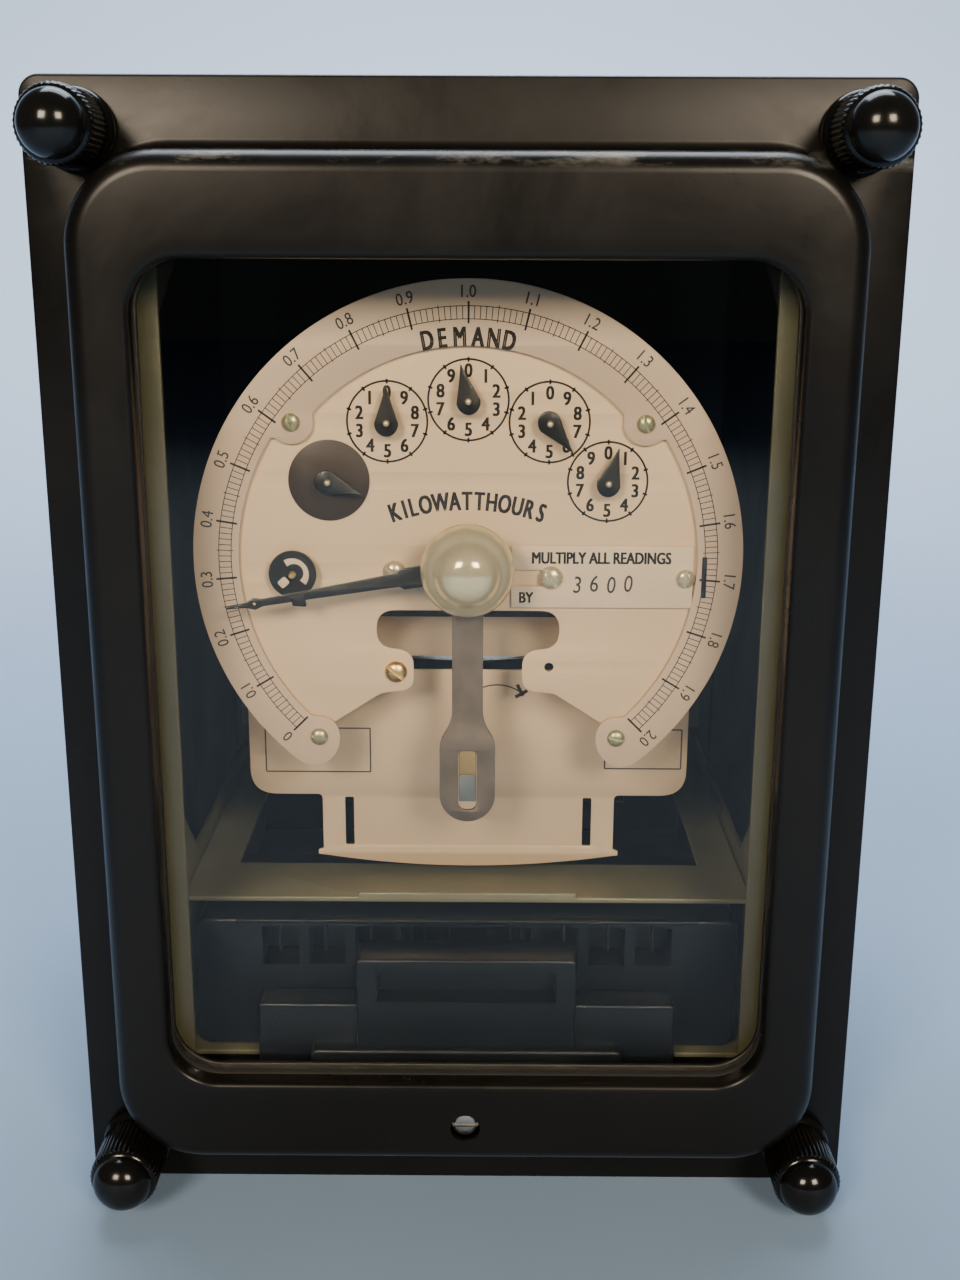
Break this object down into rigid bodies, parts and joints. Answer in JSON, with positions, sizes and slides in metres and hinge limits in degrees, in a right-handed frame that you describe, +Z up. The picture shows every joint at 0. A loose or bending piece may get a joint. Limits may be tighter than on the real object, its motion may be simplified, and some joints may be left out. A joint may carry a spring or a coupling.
{
  "type": "analog dial electric meter",
  "caption": "Switchboard watthour demand meter: black steel case with windowed cover on thumb nuts, register dials, demand scale, pointer and an induction disk drive.",
  "frame": {"origin": "middle of the width and of the whole depth, on the line that the case and cover flange stand on", "axes": "+X to the right seen from the front, +Y from the window to the rear terminals, +Z up"},
  "size_m": [0.1684, 0.1932, 0.235],
  "materials": {
    "black_paint": "satin black baked enamel over pressed steel",
    "case_paint": "satin black enamel, slightly duller than the cover",
    "black_moulding": "moulded black phenolic",
    "knob_moulding": "knurled black thumb nuts, polished domes",
    "rail_paint": "pale greenish cream enamel",
    "plate_white": "warm white printed dial enamel on sheet metal",
    "glass": "flat window glass",
    "rubber": "black gasket rubber",
    "nickel": "dull warm nickel plate",
    "steel": "plain machined steel",
    "zinc": "dull zinc plate",
    "brass": "machined brass",
    "aluminium": "cast and sheet aluminium",
    "copper": "enamelled copper winding",
    "lamination": "blued silicon steel laminations",
    "pointer_black": "matt black lacquer"
  },
  "bodies": {
    "case": {"cover_gasket": "rubber", "drag_magnet": "zinc", "timing_motor": "steel", "cover_stud_top_left": "steel", "cover_stud_top_right": "steel", "cover_stud_bottom_left": "steel", "cover_stud_bottom_right": "steel", "case_shell": "case_paint", "rear_terminal_block": "black_moulding", "case_contact_block": "black_moulding", "cradle_contact_block": "black_moulding", "connection_plug": "black_moulding", "cradle_side_left": "rail_paint", "cradle_side_right": "rail_paint", "cradle_foot": "rail_paint", "cradle_shelf": "rail_paint", "cradle_top_bar": "rail_paint", "latch_bracket": "rail_paint", "meter_frame": "case_paint", "lower_bearing": "brass", "upper_bearing": "brass", "register_frame": "brass", "stator_core_left": "lamination", "stator_core_right": "lamination", "voltage_coil_left": "copper", "voltage_coil_right": "copper", "current_coil_left": "copper", "current_coil_right": "copper", "scale_plate": "plate_white", "dial_plate": "plate_white", "multiplier_card": "plate_white", "nameplate": "plate_white", "pivot_dome": "nickel"},
    "cover": {"cover_shell": "black_paint", "window_glass": "glass", "window_gasket": "rubber", "glass_retainer": "zinc"},
    "lock_screw": {"lock_screw": "steel"},
    "cradle_latch": {"cradle_latch": "steel"},
    "rotor": {"rotor_disk": "aluminium", "rotor_spindle": "steel"},
    "worm_wheel": {"worm_wheel_arbor": "brass"},
    "demand_pointer": {"demand_pointer": "pointer_black"},
    "reset_arm": {"reset_arm": "zinc"},
    "interval_indicator": {"interval_indicator": "pointer_black"},
    "thumb_nut_top_left": {"thumb_nut_top_left": "knob_moulding"},
    "thumb_nut_top_right": {"thumb_nut_top_right": "knob_moulding"},
    "thumb_nut_bottom_left": {"thumb_nut_bottom_left": "knob_moulding"},
    "thumb_nut_bottom_right": {"thumb_nut_bottom_right": "knob_moulding"},
    "ten_thousands_dial": {"ten_thousands_arbor": "brass", "ten_thousands_pointer": "pointer_black"},
    "thousands_dial": {"thousands_arbor": "brass", "thousands_pointer": "pointer_black"},
    "hundreds_dial": {"hundreds_arbor": "brass", "hundreds_pointer": "pointer_black"},
    "tens_dial": {"tens_arbor": "brass", "tens_pointer": "pointer_black"},
    "units_dial": {"units_arbor": "brass", "units_pointer": "pointer_black"}
  },
  "joints": [
    {"name": "cover_removal", "type": "slide", "parent": "case", "child": "cover", "axis": [0, -1, 0], "range_m": [0, 0.08]},
    {"name": "nut_top_left_turn", "type": "hinge", "parent": "cover", "child": "thumb_nut_top_left", "pos_m": [-0.0735, -0.08485, 0.225], "axis": [0, 1, 0], "continuous": true},
    {"name": "nut_top_right_turn", "type": "hinge", "parent": "cover", "child": "thumb_nut_top_right", "pos_m": [0.0735, -0.08485, 0.225], "axis": [0, 1, 0], "continuous": true},
    {"name": "nut_bottom_left_turn", "type": "hinge", "parent": "cover", "child": "thumb_nut_bottom_left", "pos_m": [-0.0735, -0.08485, 0.01], "axis": [0, 1, 0], "continuous": true},
    {"name": "nut_bottom_right_turn", "type": "hinge", "parent": "cover", "child": "thumb_nut_bottom_right", "pos_m": [0.0735, -0.08485, 0.01], "axis": [0, 1, 0], "continuous": true},
    {"name": "lock_screw_turn", "type": "hinge", "parent": "cover", "child": "lock_screw", "pos_m": [0, -0.08685, 0.0226], "axis": [0, 1, 0], "range_deg": [0, 90]},
    {"name": "latch_lever", "type": "hinge", "parent": "case", "child": "cradle_latch", "pos_m": [0, -0.05185, 0.2076], "axis": [1, 0, 0], "range_deg": [0, 70]},
    {"name": "rotor_spin", "type": "hinge", "parent": "case", "child": "rotor", "pos_m": [0, 0.00315, 0.113], "axis": [0, 0, 1], "continuous": true},
    {"name": "worm_wheel_turn", "type": "hinge", "parent": "case", "child": "worm_wheel", "pos_m": [0.01565, -0.01485, 0.14577], "axis": [0, 1, 0], "continuous": true},
    {"name": "units_dial_turn", "type": "hinge", "parent": "case", "child": "units_dial", "pos_m": [0.0291, -0.04985, 0.1568], "axis": [0, 1, 0], "continuous": true},
    {"name": "tens_dial_turn", "type": "hinge", "parent": "case", "child": "tens_dial", "pos_m": [0.0168, -0.04985, 0.1691], "axis": [0, 1, 0], "continuous": true},
    {"name": "hundreds_dial_turn", "type": "hinge", "parent": "case", "child": "hundreds_dial", "pos_m": [0, -0.04985, 0.1736], "axis": [0, 1, 0], "continuous": true},
    {"name": "thousands_dial_turn", "type": "hinge", "parent": "case", "child": "thousands_dial", "pos_m": [-0.0168, -0.04985, 0.1691], "axis": [0, 1, 0], "continuous": true},
    {"name": "ten_thousands_dial_turn", "type": "hinge", "parent": "case", "child": "ten_thousands_dial", "pos_m": [-0.0291, -0.04985, 0.1568], "axis": [0, 1, 0], "continuous": true},
    {"name": "demand_pointer_sweep", "type": "hinge", "parent": "case", "child": "demand_pointer", "pos_m": [0, -0.06785, 0.14], "axis": [0, 1, 0], "range_deg": [-35, 235]},
    {"name": "reset_arm_swing", "type": "hinge", "parent": "case", "child": "reset_arm", "pos_m": [0, -0.06485, 0.14], "axis": [0, 1, 0], "range_deg": [-30, 30]},
    {"name": "interval_indicator_turn", "type": "hinge", "parent": "case", "child": "interval_indicator", "pos_m": [-0.037, -0.04485, 0.1372], "axis": [0, 1, 0], "continuous": true}
  ],
  "couplings": [
    {"joint": "worm_wheel_turn", "follows": "rotor_spin", "ratio": -0.02},
    {"joint": "units_dial_turn", "follows": "rotor_spin", "ratio": 0.002},
    {"joint": "tens_dial_turn", "follows": "rotor_spin", "ratio": -0.0002},
    {"joint": "hundreds_dial_turn", "follows": "rotor_spin", "ratio": 0.00002},
    {"joint": "thousands_dial_turn", "follows": "rotor_spin", "ratio": -0.000002},
    {"joint": "ten_thousands_dial_turn", "follows": "rotor_spin", "ratio": 0.0000002}
  ]
}
